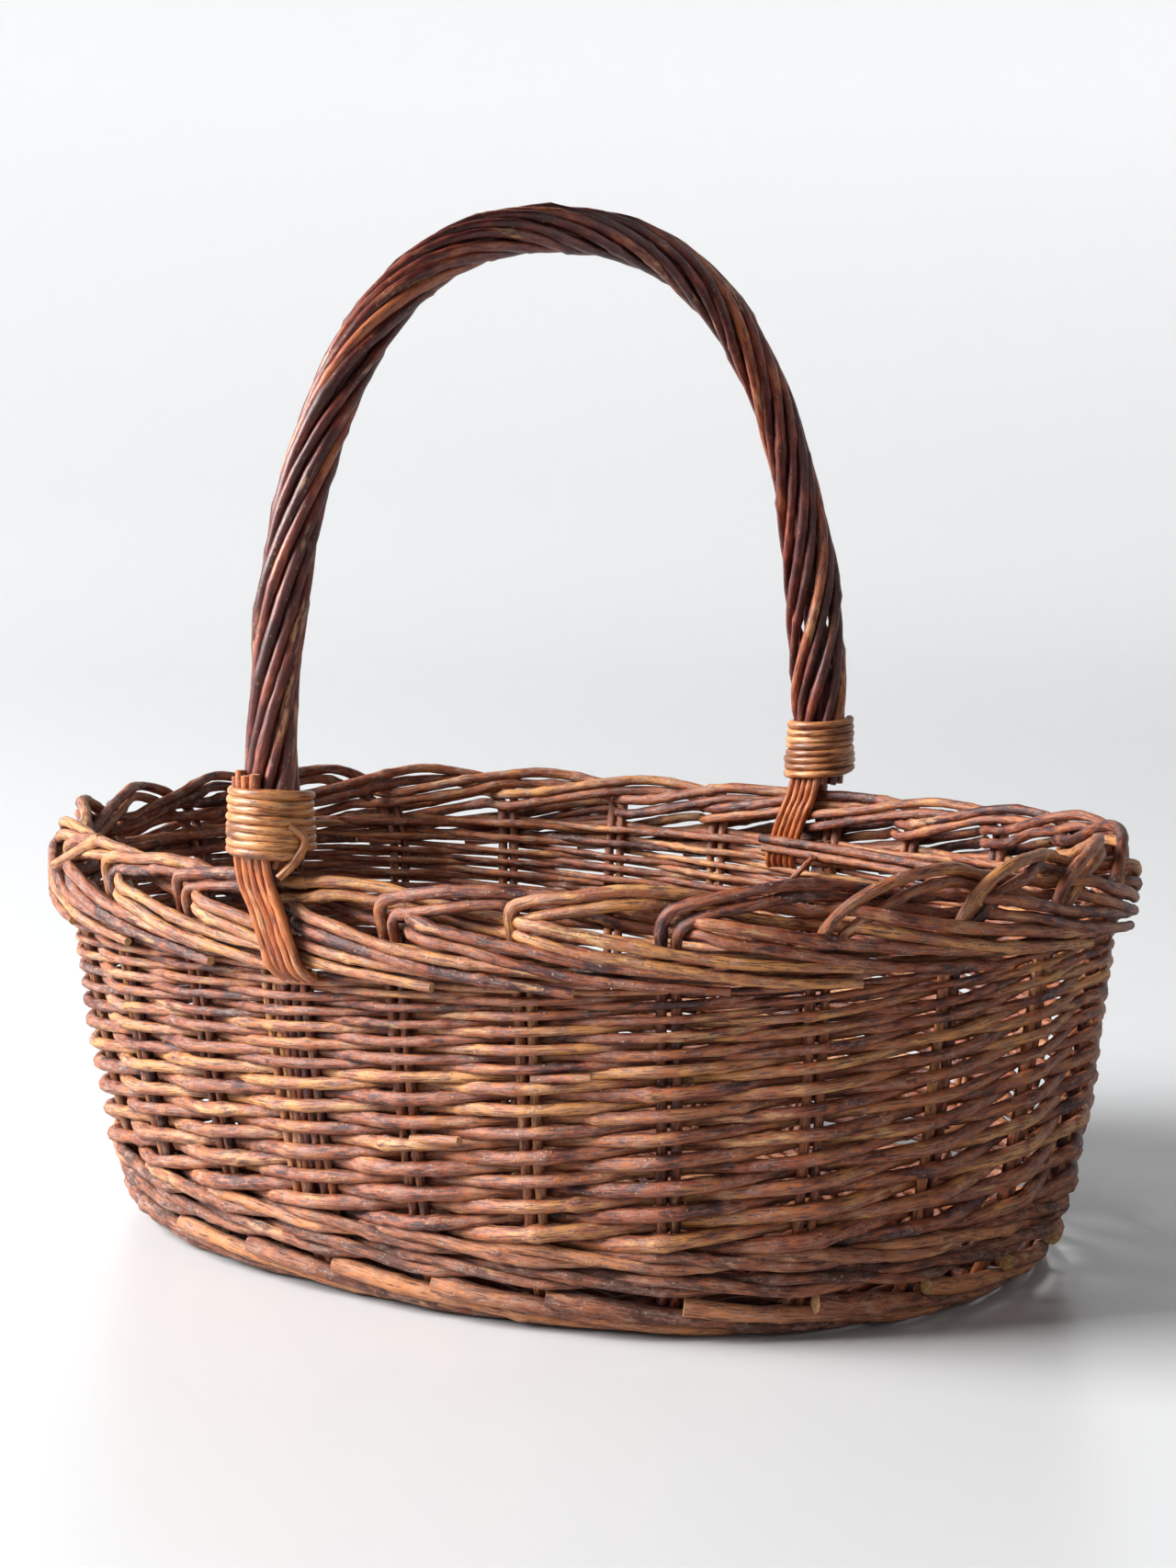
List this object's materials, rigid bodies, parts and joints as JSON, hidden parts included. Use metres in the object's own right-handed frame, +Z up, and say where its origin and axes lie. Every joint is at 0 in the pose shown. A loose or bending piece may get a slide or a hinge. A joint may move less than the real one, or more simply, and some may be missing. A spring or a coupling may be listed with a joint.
{
  "type": "oval willow basket",
  "caption": "Oval basket of woven bark-on willow with a plaited rim border and a roped hoop handle across its short axis.",
  "frame": {"origin": "middle of the box round the whole basket, at the ground", "axes": "+X along the basket's long axis, +Y across it and in the plane of the handle, +Z up"},
  "size_m": [0.502, 0.4006, 0.4429],
  "materials": {
    "bark": "matt dry willow bark",
    "foot_bark": "matt weathered willow bark",
    "handle_bark": "satin, worn smooth by hands",
    "pale_rod": "satin pale bark"
  },
  "bodies": {
    "root": {"stake_pair_01": "bark", "stake_pair_02": "bark", "stake_pair_03": "bark", "stake_pair_04": "bark", "stake_pair_05": "bark", "stake_pair_06": "bark", "stake_pair_07": "bark", "stake_pair_08": "bark", "stake_pair_09": "bark", "stake_pair_10": "bark", "stake_pair_11": "bark", "stake_pair_13": "bark", "stake_pair_14": "bark", "stake_pair_15": "bark", "stake_pair_16": "bark", "stake_pair_17": "bark", "stake_pair_18": "bark", "stake_pair_19": "bark", "stake_pair_20": "bark", "stake_pair_21": "bark", "stake_pair_22": "bark", "stake_pair_23": "bark", "siding_row_01": "bark", "siding_row_02": "bark", "siding_row_03": "bark", "siding_row_04": "bark", "siding_row_05": "bark", "siding_row_06": "bark", "siding_row_07": "bark", "siding_row_08": "bark", "siding_row_09": "bark", "siding_row_10": "bark", "siding_row_11": "bark", "siding_row_12": "bark", "siding_row_13": "bark", "siding_row_14": "bark", "siding_row_15": "bark", "siding_row_16": "bark", "siding_row_17": "bark", "siding_row_18": "bark", "top_wale_01": "bark", "top_wale_02": "bark", "rim_border": "bark", "base_weave": "bark", "foot_wale_01": "foot_bark", "foot_wale_02": "foot_bark", "foot_wale_03": "foot_bark", "foot_border": "foot_bark", "base_sticks": "foot_bark", "handle_bow": "handle_bark", "handle_rope": "handle_bark", "near_tails": "handle_bark", "far_tails": "handle_bark", "near_binding": "pale_rod", "far_binding": "pale_rod"}
  },
  "joints": []
}
